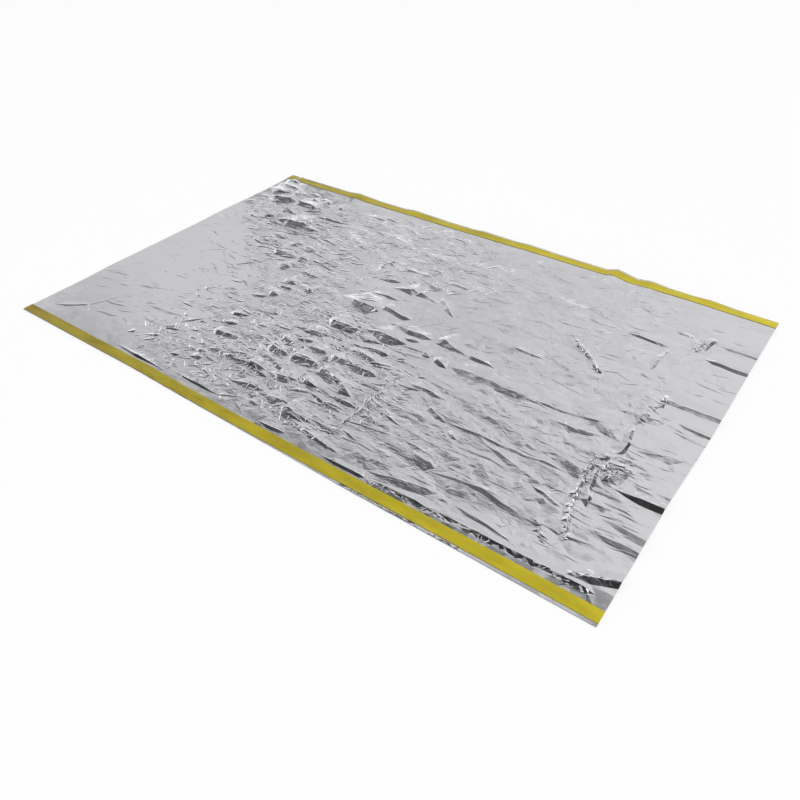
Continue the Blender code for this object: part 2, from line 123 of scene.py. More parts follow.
MIDDLE_FOLDS = (
    # large facets across the middle, far row to near row
    (878, 832, 968, 854, 14, 0.30, 0.50, 0.35),
    (958, 812, 1052, 838, 27, 0.30, 0.86, 0.13),
    (1050, 838, 1155, 808, 20, 0.30, 0.12, 0.86),
    (1125, 860, 1243, 768, 15, 0.30, 0.25, 0.40),
    (905, 742, 1035, 756, 14, 0.32, 0.35, 0.40),
    (1004, 694, 1134, 684, 16, 0.32, 0.08, 0.15),
    (842, 672, 1012, 662, 39, 0.30, 0.45, 0.15),
    (1084, 630, 1256, 630, 17, 0.33, 0.20, 0.20),
    (1262, 656, 1388, 620, 31, 0.22, 0.15, 0.80),
    (1374, 628, 1494, 614, 12, 0.33, 0.25, 0.50),
    (1036, 558, 1204, 568, 35, 0.30, 0.50, 0.30),
    (905, 532, 1036, 540, 26, 0.33, 0.20, 0.10),
    (1172, 588, 1224, 598, 10, 0.35, 0.30, 0.30),
    (1260, 562, 1300, 548, 13, 0.28, 0.30, 0.30),
    (1303, 560, 1366, 536, 15, 0.32, 0.30, 0.30),
    (1376, 552, 1730, 553, 24, 0.155, 0.10, 0.40),
    (1052, 514, 1106, 510, 12, 0.32, 0.50, 0.40),
    (1044, 470, 1186, 490, 16, 0.32, 0.60, 0.10),
    (1046, 450, 1206, 434, 22, 0.30, 0.40, 0.30),
    (836, 444, 976, 462, 17, 0.28, 0.50, 0.20),
    (884, 398, 966, 412, 10, 0.32, 0.40, 0.20),
    (1044, 390, 1226, 385, 23, 0.28, 0.10, 0.20),
    (834, 380, 906, 374, 20, 0.28, 0.40, 0.20),
    (936, 384, 1036, 388, 20, 0.26, 0.20, 0.20),
)

NEAR_FOLDS = (
    # the broad arc and the rows of facets below it
    (834, 322, 932, 318, 24, 0.30, 0.25, 0.15),
    (934, 322, 1046, 326, 24, 0.33, 0.16, 0.14),
    (1046, 326, 1156, 306, 31, 0.32, 0.18, 0.20),
    (1136, 312, 1218, 268, 24, 0.30, 0.30, 0.40),
    (836, 219, 936, 219, 20, 0.32, 0.30, 0.20),
    (945, 218, 1036, 238, 24, 0.30, 0.40, 0.15),
    (1040, 250, 1120, 246, 14, 0.28, 0.30, 0.50),
    (1104, 217, 1256, 202, 9, 0.32, 0.20, 0.30),
    (1174, 247, 1264, 241, 12, 0.28, 0.30, 0.30),
    (864, 130, 994, 150, 16, 0.32, 0.50, 0.30),
    (976, 134, 1076, 148, 20, 0.28, 0.60, 0.20),
    (1086, 126, 1206, 121, 31, 0.32, 0.12, 0.70),
    (1140, 95, 1366, 71, 9, 0.38, 0.30, 0.30),
    (880, 205, 960, 196, 12, 0.28, 0.40, 0.40),
    (975, 96, 1030, 90, 14, 0.26, 0.50, 0.40),
)

STROKE_FOLDS = (
    # short slanted ridges where the smooth left part meets the crumpled middle
    (402, 104, 428, 134, 7, 0.42, 0.75, 0.20),
    (462, 138, 512, 158, 8, 0.42, 0.75, 0.20),
    (488, 191, 551, 220, 7, 0.40, 0.50, 0.40),
    (498, 242, 562, 312, 7, 0.36, 0.50, 0.40),
    (624, 274, 756, 300, 16, 0.32, 0.20, 0.35),
    (604, 380, 674, 404, 11, 0.34, 0.20, 0.35),
    (624, 326, 684, 346, 11, 0.34, 0.40, 0.20),
    (662, 176, 706, 180, 10, 0.34, 0.40, 0.20),
    (672, 138, 718, 156, 13, 0.34, 0.60, 0.15),
    (612, 114, 650, 129, 10, 0.36, 0.50, 0.20),
    (696, 194, 744, 220, 12, 0.34, 0.50, 0.25),
    (758, 196, 798, 222, 12, 0.34, 0.50, 0.25),
    (578, 502, 634, 526, 11, 0.34, 0.30, 0.20),
    (52, 74, 158, 136, 8, 0.16, 0.40, 0.10),
    (158, 136, 212, 246, 5, 0.11, 0.10, 0.30),
)

FAR_LEFT_FOLDS = (
    # broad facets and slanted ridges in the far left corner, and facets beside them
    (6, 1182, 160, 1168, 36, 0.30, 0.34, 0.25),
    (8, 1232, 152, 1218, 38, 0.30, 0.34, 0.25),
    (12, 1284, 96, 1272, 36, 0.30, 0.34, 0.30),
    (118, 1150, 22, 1262, 20, 0.42, 0.15, 0.35),
    (176, 1178, 78, 1290, 20, 0.42, 0.15, 0.35),
    (62, 1106, 200, 1138, 34, 0.36, 0.40, 0.20),
    (204, 1142, 322, 1136, 24, 0.36, 0.10, 0.15),
    (238, 972, 400, 992, 38, 0.35, 0.45, 0.10),
    (384, 976, 466, 980, 17, 0.34, 0.10, 0.60),
    (186, 1058, 296, 1048, 22, 0.30, 0.30, 0.50),
    (374, 1076, 506, 1096, 11, 0.34, 0.30, 0.30),
    (176, 998, 214, 968, 22, 0.32, 0.20, 0.30),
    (232, 1196, 294, 1182, 15, 0.28, 0.30, 0.30),
    (302, 1202, 346, 1196, 18, 0.26, 0.30, 0.30),
    (374, 1214, 424, 1184, 16, 0.30, 0.20, 0.30),
    (552, 1208, 636, 1206, 10, 0.30, 0.20, 0.30),
    (604, 1226, 690, 1216, 11, 0.30, 0.30, 0.40),
    (344, 930, 526, 936, 10, 0.28, 0.20, 0.20),
    (-10, 868, 98, 862, 9, 0.12, 0.00, 0.40),
)

LEFT_MIDDLE_FOLDS = (
    (304, 874, 406, 870, 13, 0.28, 0.40, 0.30),
    (434, 868, 486, 842, 22, 0.28, 0.20, 0.40),
    (504, 860, 566, 854, 26, 0.26, 0.30, 0.30),
    (304, 820, 362, 816, 12, 0.28, 0.40, 0.30),
    (412, 810, 506, 818, 12, 0.30, 0.30, 0.30),
    (424, 778, 536, 782, 24, 0.28, 0.15, 0.30),
    (536, 778, 588, 784, 24, 0.28, 0.30, 0.30),
    (504, 716, 568, 712, 27, 0.28, 0.50, 0.20),
    (604, 714, 706, 716, 15, 0.26, 0.30, 0.30),
    (604, 648, 666, 634, 24, 0.28, 0.20, 0.40),
    (716, 644, 756, 634, 24, 0.28, 0.30, 0.30),
    (622, 598, 676, 602, 10, 0.34, 0.20, 0.20),
    (624, 554, 668, 548, 22, 0.28, 0.30, 0.30),
    (734, 1012, 765, 972, 9, 0.30, 0.20, 0.30),
    (794, 978, 853, 882, 9, 0.30, 0.20, 0.20),
    (614, 893, 674, 832, 8, 0.28, 0.20, 0.30),
)

RIGHT_FOLDS = (
    # near right
    (1304, 417, 1456, 413, 12, 0.24, 0.20, 0.30),
    (1284, 309, 1506, 312, 22, 0.15, 0.10, 0.40),
    (1424, 361, 1506, 336, 16, 0.20, 0.15, 0.40),
    (1504, 338, 1856, 354, 8, 0.26, 0.15, 0.15),
    (1486, 186, 1576, 176, 29, 0.18, 0.50, 0.20),
    (1604, 190, 1876, 161, 14, 0.15, 0.30, 0.30),
    (1434, 68, 1626, 108, 23, 0.20, 0.60, 0.15),
    (1684, 98, 1886, 80, 8, 0.28, 0.20, 0.30),
    (1456, 208, 1516, 206, 14, 0.20, 0.50, 0.40),
    (1524, 314, 1566, 294, 10, 0.28, 0.20, 0.30),
    (1654, 328, 1746, 300, 17, 0.15, 0.20, 0.30),
    (1964, 363, 2110, 371, 14, 0.60, 0.50, 0.00),
    (1984, 264, 2110, 256, 20, 0.14, 0.50, 0.00),
    (1954, 221, 2110, 216, 16, 0.13, 0.50, 0.00),
    (1804, 262, 1896, 237, 8, 0.30, 0.20, 0.20),
    # far right
    (1952, 524, 2076, 552, 24, 0.15, 0.75, 0.25),
    (1734, 506, 1866, 521, 14, 0.20, 0.40, 0.20),
    (1534, 1018, 1726, 1014, 12, 0.16, 0.20, 0.20),
    (1732, 1010, 1876, 1006, 9, 0.30, 0.20, 0.20),
    (1974, 1005, 2110, 1002, 12, 0.32, 0.20, 0.00),
    (1862, 1098, 1916, 1093, 8, 0.28, 0.20, 0.20),
    (1992, 1098, 2110, 1093, 9, 0.28, 0.20, 0.00),
    (1934, 761, 2110, 761, 16, 0.20, 0.10, 0.00),
    (1894, 708, 1966, 687, 12, 0.24, 0.20, 0.30),
    (1904, 660, 1986, 662, 20, 0.20, 0.20, 0.20),
    (2012, 683, 2110, 678, 8, 0.26, 0.20, 0.00),
    (1474, 742, 1586, 732, 9, 0.26, 0.30, 0.40),
    (904, 943, 1042, 941, 9, 0.28, 0.20, 0.20),
    (1102, 948, 1192, 948, 9, 0.28, 0.20, 0.20),
    (1052, 892, 1126, 896, 16, 0.16, 0.30, 0.30),
)

CROSS_FOLDS = (
    # ridges that run across the blanket, on the folds between its panels
    (1936, 167, 1901, 290, 8, 0.45, 0.15, 0.05),
    (1901, 290, 1890, 430, 8, 0.40, 0.05, 0.20),
    (1938, 275, 1908, 410, 8, 0.60, 0.20, 0.20),
    (1928, 476, 1936, 530, 8, 0.52, 0.20, 0.00),
    (1936, 530, 1913, 640, 8, 0.50, 0.00, 0.60),
    (1990, 446, 1908, 428, 20, 0.36, 0.25, 0.25),
    (1962, 436, 1934, 372, 15, 0.48, 0.30, 0.30),
    (1864, 865, 1868, 1000, 8, 0.30, 0.20, 0.20),
    (1634, 880, 1756, 766, 11, 0.34, 0.30, 0.15),
    (1276, 400, 1272, 120, 5, 0.40, 0.15, 0.15),
    (1036, 480, 1036, 225, 5, 0.45, 0.10, 0.10),
    (1960, 1040, 1968, 1130, 10, 0.34, 0.40, 0.20),
)

FOLDS = tuple(
    Fold(*row)
    for table in (
        TAPE_FOLDS,
        MIDDLE_FOLDS,
        NEAR_FOLDS,
        STROKE_FOLDS,
        FAR_LEFT_FOLDS,
        LEFT_MIDDLE_FOLDS,
        RIGHT_FOLDS,
        CROSS_FOLDS,
    )
    for row in table
)

# Patches where the film is crumpled into small facets
Patch = namedtuple("Patch", "x y reach_x reach_y height")
PATCHES = rows(
    Patch,
    (960, 330, 420, 300, 8.0),
    (740, 480, 300, 330, 6.5),
    (1080, 160, 360, 150, 7.0),
    (640, 730, 300, 190, 5.5),
    (880, 560, 330, 260, 5.5),
    (440, 860, 260, 110, 4.5),
    (230, 1090, 230, 130, 4.2),
    (90, 1220, 160, 90, 3.0),
    (600, 1030, 260, 120, 3.0),
    (1420, 240, 330, 220, 4.5),
    (1700, 330, 420, 330, 3.0),
    (1560, 100, 300, 80, 4.0),
    (1930, 430, 70, 90, 7.0),
    (1900, 690, 60, 140, 4.5),
    (1950, 1060, 60, 80, 4.5),
    (1580, 1200, 180, 110, 2.5),
)
# Share of a patch over which it fades, and how far its film sinks on average
PATCH_EDGE = 0.55
CRUMPLE_SINKS = 0.3

# Facet noise: lattice cells, share of the height, seed
Layer = namedtuple("Layer", "cell_x cell_y share seed")
LAYERS = (Layer(74, 34, 0.62, 11), Layer(31, 19, 0.38, 23))
LATTICE = 64
LATTICE_SKEW = 0.4

# How finely the sheet is divided: spacing along and across it, and the least
# crumple strength from which that spacing is used
Spacing = namedtuple("Spacing", "along across strength")
SPACINGS = (Spacing(40, 20, -1), Spacing(26, 13, 0.8), Spacing(16, 9, 2.6))
EDGE_STEP = 14.0
LINE_STEP = 20.0
CLEAR_OF_LINES = 4.0
MERGE_DISTANCE = 0.4
SAMPLE_STEP = 3
JITTER = 0.7
CREASE_POINT_AREA = 34

# The thin sheet that is shown in place of the thicker solid
SHEET_THICKNESS = 0.4

# Places where the finer facets are strong
FINE_PATCHES = PATCHES + rows(
    Patch,
    (1450, 450, 900, 620, 1.7),
    (1650, 950, 700, 420, 1.4),
    (850, 1080, 560, 330, 3.0),
    (330, 560, 260, 420, 1.0),
    (640, 180, 260, 170, 4.0),
)
FINE_LAYERS = (Layer(24, 13, 0.20, 37), Layer(13, 36, 0.16, 43))

# Share of the height that is random from point to point, on two kinds of facet
FACET_SHARE = 0.20
FLAT_FACET_SHARE = 0.16

# Broader, flatter facets over the smoother film
FLAT_PATCHES = rows(
    Patch,
    (1600, 380, 760, 520, 6.0),
    (1620, 1000, 760, 460, 3.6),
    (850, 1080, 560, 340, 4.6),
    (330, 1050, 420, 280, 3.0),
    (200, 500, 420, 560, 1.4),
)
FLAT_LAYERS = (Layer(84, 46, 0.55, 67), Layer(44, 25, 0.40, 73))

# Long shallow wrinkles along the blanket
STREAK_PATCHES = rows(
    Patch,
    (1700, 320, 760, 430, 2.6),
    (1650, 900, 800, 520, 1.1),
    (700, 980, 620, 340, 1.4),
    (300, 600, 420, 700, 0.35),
)
STREAK_LAYERS = (Layer(230, 27, 0.6, 53), Layer(120, 15, 0.4, 59))

# Short wrinkles strewn over a zone: the range of their lengths, the range of
# their widths, their slope, and their heading with its spread, in degrees.
Zone = namedtuple(
    "Zone", "x y reach_x reach_y count short long thin wide slope heading spread"
)
ZONES = rows(
    Zone,
    (1000, 310, 400, 290, 150, 20, 90, 3, 8, 0.36, 2, 24),
    (1010, 310, 340, 270, 260, 10, 34, 2, 4, 0.50, -55, 40),
    (1010, 310, 360, 280, 200, 12, 40, 2, 5, 0.45, 10, 70),
    (700, 520, 330, 320, 130, 15, 70, 2.5, 6, 0.36, 6, 30),
    (740, 540, 280, 300, 130, 10, 34, 2, 4, 0.46, -45, 60),
    (640, 170, 230, 130, 170, 10, 46, 2, 5, 0.42, -20, 80),
    (480, 850, 260, 130, 80, 25, 90, 3, 7, 0.36, 4, 20),
    (260, 1080, 250, 160, 90, 25, 100, 3, 9, 0.36, 2, 24),
    (850, 1050, 450, 220, 360, 15, 90, 2.0, 4.2, 0.40, 2, 80),
    (1500, 950, 560, 330, 230, 20, 150, 1.6, 3.2, 0.24, 0, 60),
    (1560, 330, 520, 300, 90, 50, 240, 3, 10, 0.15, 0, 9),
    (1560, 330, 520, 300, 90, 20, 70, 1.6, 3, 0.22, 0, 60),
    (2000, 650, 95, 640, 50, 40, 110, 3, 8, 0.15, 0, 9),
    (360, 520, 190, 400, 70, 20, 80, 1.6, 3, 0.30, 8, 16),
    (240, 560, 230, 500, 90, 20, 130, 1.6, 2.8, 0.22, 4, 50),
    (270, 620, 240, 560, 26, 60, 220, 7, 14, 0.09, 6, 18),
)

# Creases across the blanket that are crumpled into glinting facets:
# a line, the width of the strip and the height of its facets
Crease = namedtuple("Crease", "x0 y0 x1 y1 width height")
CREASES = rows(
    Crease,
    (1936, 166, 1901, 290, 8, 5.4),
    (1901, 290, 1890, 440, 8, 5.4),
    (1925, 432, 1942, 385, 12, 4.0),
    (1895, 440, 1970, 474, 8, 3.0),
    (600, 14, 900, 12, 12, 1.4),
    (1160, 90, 1340, 72, 6, 2.4),
    (1868, 168, 1906, 128, 8, 3.4),
    (1925, 640, 1952, 760, 7, 3.4),
    (1625, 875, 1750, 765, 6, 4.4),
    (1460, 44, 2060, 57, 6, 2.4),
    (1400, -4, 1760, -3, 5, 2.2),
    (1995, 80, 2095, 120, 6, 2.4),
    (1268, 110, 1276, 440, 8, 1.6),
    (1930, 1030, 1960, 1080, 10, 2.6),
    (840, 760, 850, 1010, 8, 2.2),
    (1640, 1200, 1672, 1275, 6, 1.2),
)

# The main folds stay smoother than the film between them
CALM_SHARE = 0.6
CALM_FROM = 4.0

# How far the film's flattest facets lean, by place, and their two sizes:
# cells per metre across the sheet, how much longer they are along it, and the
# share of the lean
LEAN_PATCHES = rows(
    Patch,
    (1500, 600, 1300, 1100, 0.13),
    (1580, 620, 620, 300, 0.20),
    (1450, 1050, 900, 500, 0.20),
    (850, 1080, 560, 340, 0.24),
    (900, 500, 700, 700, 0.12),
    (250, 1080, 400, 320, 0.10),
)
LEAST_LEAN = 0.032
LEANS = ((34, 2.6, 0.6), (80, 1.8, 0.6))

# The film's crinkle in its material: full at this strength, and the least
CRINKLE_FULL = 5
LEAST_CRINKLE = 0.09

# Packing folds: where their lines begin, and how far they keep from the edges
PACKING_FROM = 430.0
FIRST_PANEL_LINE = 2
PACKING_MARGIN = 50

# The steep lip on the far side of each crest
LIP_WIDTH = 3.0
LIP_DROP = 4.0
LEAST_WIDTH = 0.1
LEAST_FLANK = 0.3
JOINT_OVERLAP = 0.01

# Strewn wrinkles: how much commoner short ones are, and their bow
SHORT_BIAS = 1.6
BOW = 0.12

# The tapes: how far they stiffen the film, and how much detail is left there
TAPE_STIFFENS = 40.0
TAPE_KEEPS = 0.12

# Degrees between two facets from which the edge between them is sharp
SHARP_FROM = 1.5

# How far from an edge the plan sways fully
SWAY_ROOM = 80

# Seeds of the random draws
STREWN_SEED = 61
CREASE_SEED = 71
LOOSE_SEED = 83


def line(table, at):
    """Read a table of two columns, straight between its rows."""
    return np.interp(at, [row[0] for row in table], [row[1] for row in table])


def warp(x, y):
    """Bend the plan a little, so that facets don't line up in rows.

    Two waves each way: their heights and lengths are in millimetres.
    """
    u = x + 13 * np.sin(y / 61 + 1.3) + 8 * np.sin(x / 47 + y / 23)
    v = y + 8 * np.sin(x / 83 + 0.4) + 5 * np.sin(x / 37 - y / 29)
    return u, v


def facet_noise(x, y, layer):
    """Heights from 0 to 1, flat on each triangle of a skewed lattice."""
    table = np.random.default_rng(layer.seed).random((LATTICE, LATTICE))
    v = y / layer.cell_y
    u = x / layer.cell_x + LATTICE_SKEW * v
    column = np.floor(u).astype(int)
    row = np.floor(v).astype(int)
    u = u - column
    v = v - row

    def corner(i, j):
        return table[(row + j) % LATTICE, (column + i) % LATTICE]

    lower = corner(0, 0) + u * (corner(1, 0) - corner(0, 0)) + v * (corner(0, 1) - corner(0, 0))
    upper = corner(1, 1) + (1 - u) * (corner(0, 1) - corner(1, 1))
    upper = upper + (1 - v) * (corner(1, 0) - corner(1, 1))
    return np.where(u + v < 1, lower, upper)


def strength(patches, x, y):
    """The strongest of some patches at each place, fading towards their rims."""
    strongest = np.zeros_like(x)
    for patch in patches:
        away = np.hypot((x - patch.x) / patch.reach_x, (y - patch.y) / patch.reach_y)
        fade = np.clip((1 - away) / PATCH_EDGE, 0, 1)
        strongest = np.maximum(strongest, patch.height * fade)
    return strongest


def crumple_height(x, y):
    """Small facets, only inside the crumpled patches."""
    u, v = warp(x, y)
    noise = sum(layer.share * facet_noise(u, v, layer) for layer in LAYERS)
    return strength(PATCHES, x, y) * noise


def fold_chain(fold):
    """A fold's crest as a chain of points, each with the ridge's width there."""
    start = (fold.x0, fold.y0)
    end = (fold.x1, fold.y1)
    chain = []
    for share, width in (
        (0, 0 if fold.head else fold.width),
        (fold.head, fold.width),
        (1 - fold.tail, fold.width),
        (1, 0 if fold.tail else fold.width),
    ):
        place = [a + (b - a) * share for a, b in zip(start, end)]
        if not chain or chain[-1][:2] != tuple(place):
            chain.append((*place, width))
    return chain


def chain_height(chain, slope, x, y):
    """One ridge: a near flank, and a far flank that begins with a steep lip."""
    height = np.zeros_like(x)
    for (ax, ay, aw), (bx, by, bw) in zip(chain, chain[1:]):
        run_x = bx - ax
        run_y = by - ay
        length = math.hypot(run_x, run_y)
        along = ((x - ax) * run_x + (y - ay) * run_y) / length ** 2
        aside = ((y - ay) * run_x - (x - ax) * run_y) / length
        width = aw + along * (bw - aw)
        lip = np.clip(aside, 0, LIP_WIDTH)
        gentle = np.maximum(width - LIP_DROP, LEAST_WIDTH)
        gentle = gentle / np.maximum(width * FAR_FLANK - LIP_WIDTH, LEAST_FLANK)
        drop = np.maximum(-aside, 0) + lip * LIP_DROP / LIP_WIDTH
        drop += np.maximum(aside - LIP_WIDTH, 0) * gentle
        beside = (along > -JOINT_OVERLAP) & (along < 1 + JOINT_OVERLAP)
        height = np.maximum(height, np.where(beside, slope * (width - drop), 0))
    return height


def chain_lines(chain):
    """The crest, the lip and both feet of a ridge, as point pairs."""
    crest = [np.array(point[:2]) for point in chain]
    near = []
    lip = []
    far = []
    for index, place in enumerate(crest):
        before = crest[max(index - 1, 0)]
        after = crest[min(index + 1, len(crest) - 1)]
        ahead = after - before
        left = np.array((-ahead[1], ahead[0])) / np.hypot(*ahead)
        width = chain[index][2]
        near.append(place - left * width)
        lip.append(place + left * min(LIP_WIDTH, width * FAR_FLANK))
        far.append(place + left * width * FAR_FLANK)
    lines = []
    widest = max(point[2] for point in chain)
    for points in (crest, near, far) + ((lip,) if widest > LIP_DROP * 2 else ()):
        lines += list(zip(points, points[1:]))
    return lines


def zigzag(at, pitch):
    """Up and down between neighbouring packing folds, from 0 to 1."""
    return 1 - np.abs((at / pitch) % 2 - 1)


def packing_height(x, y):
    """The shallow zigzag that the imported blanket's folds leave in it."""
    deep = np.clip((x - ZIGZAG_STARTS) / (ZIGZAG_FULL - ZIGZAG_STARTS), 0, 1)
    strips = zigzag(y, STRIP)
    panels = 1 - zigzag(x - FIRST_PANEL_FOLD, PANEL)
    return ZIGZAG_HEIGHT * deep * (STRIP_SHARE * strips + PANEL_SHARE * panels)


def corner_share(x, y):
    """0 at the sheet's four corners, which lie flat, and 1 away from them."""
    share = np.ones_like(x)
    for edge in (NEAR_EDGE, FAR_EDGE):
        for side, along in ((LEFT_EDGE, 0), (RIGHT_EDGE, LENGTH)):
            corner_y = line(edge, along)
            corner_x = line(side, corner_y)
            away = np.hypot(x - corner_x, y - corner_y)
            share = np.minimum(share, away / CORNER_REACH)
    return share


def ridge_height(x, y):
    """Height of the main folds alone."""
    ridges = np.zeros_like(x)
    for fold in FOLDS:
        ridges = np.maximum(ridges, chain_height(fold_chain(fold), fold.slope, x, y))
    return ridges


def film_height(x, y):
    """Height of the film's underside above the surface that it lies on."""
    crumple = crumple_height(x, y) - CRUMPLE_SINKS * strength(PATCHES, x, y)
    height = ridge_height(x, y) + crumple + packing_height(x, y)
    return height * corner_share(x, y)


def stations(length):
    """Evenly spaced places along an edge, about one EDGE_STEP apart."""
    return np.linspace(0, length, round(length / EDGE_STEP) + 1)


def long_line(offset_of):
    """A line along the blanket, from short edge to short edge."""
    points = []
    for share in stations(LENGTH) / LENGTH:
        y = float(offset_of(share * LENGTH))
        left = line(LEFT_EDGE, y)
        right = line(RIGHT_EDGE, y)
        points.append((float(left + share * (right - left)), y))
    return points


def near_edge(x):
    """Where the near long edge runs."""
    return line(NEAR_EDGE, x)


def far_edge(x):
    """Where the far long edge runs."""
    return line(FAR_EDGE, x)


def near_tape_outer(x):
    """The near tape's edge beside the bare film."""
    return near_edge(x) + line(NEAR_MARGIN, x)


def near_tape_inner(x):
    """The near tape's edge towards the middle."""
    return near_tape_outer(x) + TAPE_WIDTH


def far_tape_outer(x):
    """The far tape's edge beside the bare film."""
    return far_edge(x) - line(FAR_MARGIN, x)


def far_tape_inner(x):
    """The far tape's edge towards the middle."""
    return far_tape_outer(x) - TAPE_WIDTH


def short_line(edge, start, end):
    """Points along a short edge, between the far ends of two long lines."""
    count = round((end - start) / EDGE_STEP)
    heights = np.linspace(start, end, count + 1)[1:-1]
    return [(float(line(edge, y)), float(y)) for y in heights]


def inside_film(x, y, clearance):
    """Whether places lie on the film, at least the clearance inside its edges."""
    return (
        (y > near_edge(x) + clearance)
        & (y < far_edge(x) - clearance)
        & (x > line(LEFT_EDGE, y) + clearance)
        & (x < line(RIGHT_EDGE, y) - clearance)
    )


def strewn(zone, rng):
    """Wrinkles of one zone: chains of crest points, each with its width."""
    chains = []
    for _ in range(zone.count):
        reach = math.sqrt(rng.random())
        bearing = rng.random() * 2 * math.pi
        x = zone.x + zone.reach_x * reach * math.cos(bearing)
        y = zone.y + zone.reach_y * reach * math.sin(bearing)
        share = rng.random() ** SHORT_BIAS
        length = zone.short + share * (zone.long - zone.short)
        width = zone.thin + share * rng.random() * (zone.wide - zone.thin)
        heading = math.radians(zone.heading + zone.spread * (2 * rng.random() - 1))
        ahead = np.array((math.cos(heading), math.sin(heading)))
        left = np.array((-ahead[1], ahead[0]))
        bow = length * BOW * (rng.random() - 0.5)
        head = -0.3 + 0.25 * rng.random()
        tail = 0.1 + 0.2 * rng.random()
        shares = (-0.5, head, tail, 0.5)
        bows = (0, bow, bow * rng.random(), 0)
        widths = (0, width, width * (0.6 + 0.4 * rng.random()), 0)
        middle = np.array((x, y))
        places = [middle + ahead * length * a + left * b for a, b in zip(shares, bows)]
        chains.append([(p[0], p[1], w) for p, w in zip(places, widths)])
    return chains


def crease_share(crease, x, y):
    """1 on the line of a crease, falling to 0 at the edges of its strip."""
    run_x = crease.x1 - crease.x0
    run_y = crease.y1 - crease.y0
    length = math.hypot(run_x, run_y)
    along = ((x - crease.x0) * run_x + (y - crease.y0) * run_y) / length ** 2
    beyond = np.abs(along - np.clip(along, 0, 1)) * length
    aside = ((y - crease.y0) * run_x - (x - crease.x0) * run_y) / length
    return np.clip(1.4 - np.hypot(beyond, aside) / crease.width, 0, 1)


def crease_height(x, y):
    """How high the glinting facets of the crumpled creases may stand."""
    height = np.zeros_like(x)
    for crease in CREASES:
        height = np.maximum(height, crease.height * crease_share(crease, x, y))
    return height


def packing_lines():
    """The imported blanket's folds, where the film is not crumpled."""
    lines = []
    for strip in range(1, STRIPS):
        y = strip * STRIP
        lines.append((np.array((PACKING_FROM, y)), np.array((LENGTH - 1, y))))
    for panel in range(FIRST_PANEL_LINE, PANELS):
        x = FIRST_PANEL_FOLD + panel * PANEL
        lines.append((np.array((x, PACKING_MARGIN)), np.array((x, WIDTH - PACKING_MARGIN))))
    return lines


def cut_up(segments):
    """The same segments, cut into pieces of about one LINE_STEP."""
    pieces = []
    for start, end in segments:
        start = np.array(start, dtype=float)
        end = np.array(end, dtype=float)
        count = max(1, round(np.hypot(*(end - start)) / LINE_STEP))
        places = [start + (end - start) * share for share in np.linspace(0, 1, count + 1)]
        pieces += list(zip(places, places[1:]))
    return pieces


def lattice(spacing):
    """Staggered rows of points over the whole sheet, each moved a little."""
    rng = np.random.default_rng(round(spacing.along * 10))
    rows = np.arange(spacing.across / 2, WIDTH, spacing.across)
    places = np.arange(spacing.along / 2, LENGTH, spacing.along)
    x, y = np.meshgrid(places, rows)
    x[1::2] += spacing.along / 2
    x += spacing.along * JITTER * (rng.random(x.shape) - 0.5)
    y += spacing.across * JITTER * (rng.random(y.shape) - 0.5)
    return x.ravel(), y.ravel()


def crease_points():
    """Close random points over the strips of the crumpled creases."""
    rng = np.random.default_rng(CREASE_SEED)
    x = []
    y = []
    for crease in CREASES:
        start = np.array((crease.x0, crease.y0))
        run = np.array((crease.x1, crease.y1)) - start
        length = np.hypot(*run)
        left = np.array((-run[1], run[0])) / length
        count = round(length * crease.width * 2 / CREASE_POINT_AREA)
        for _ in range(count):
            aside = crease.width * (2 * rng.random() - 1)
            place = start + run * rng.random() + left * aside
            x.append(place[0])
            y.append(place[1])
    return np.array(x), np.array(y)


def distance_from(segments, x, y):
    """How far each place is from the nearest segment."""
    samples = []
    for start, end in segments:
        count = max(2, round(np.hypot(*(end - start)) / SAMPLE_STEP))
        samples += [start + (end - start) * share for share in np.linspace(0, 1, count)]
    tree = KDTree(len(samples))
    for index, sample in enumerate(samples):
        tree.insert((sample[0], sample[1], 0), index)
    tree.balance()
    return np.array([tree.find((a, b, 0))[2] for a, b in zip(x, y)])


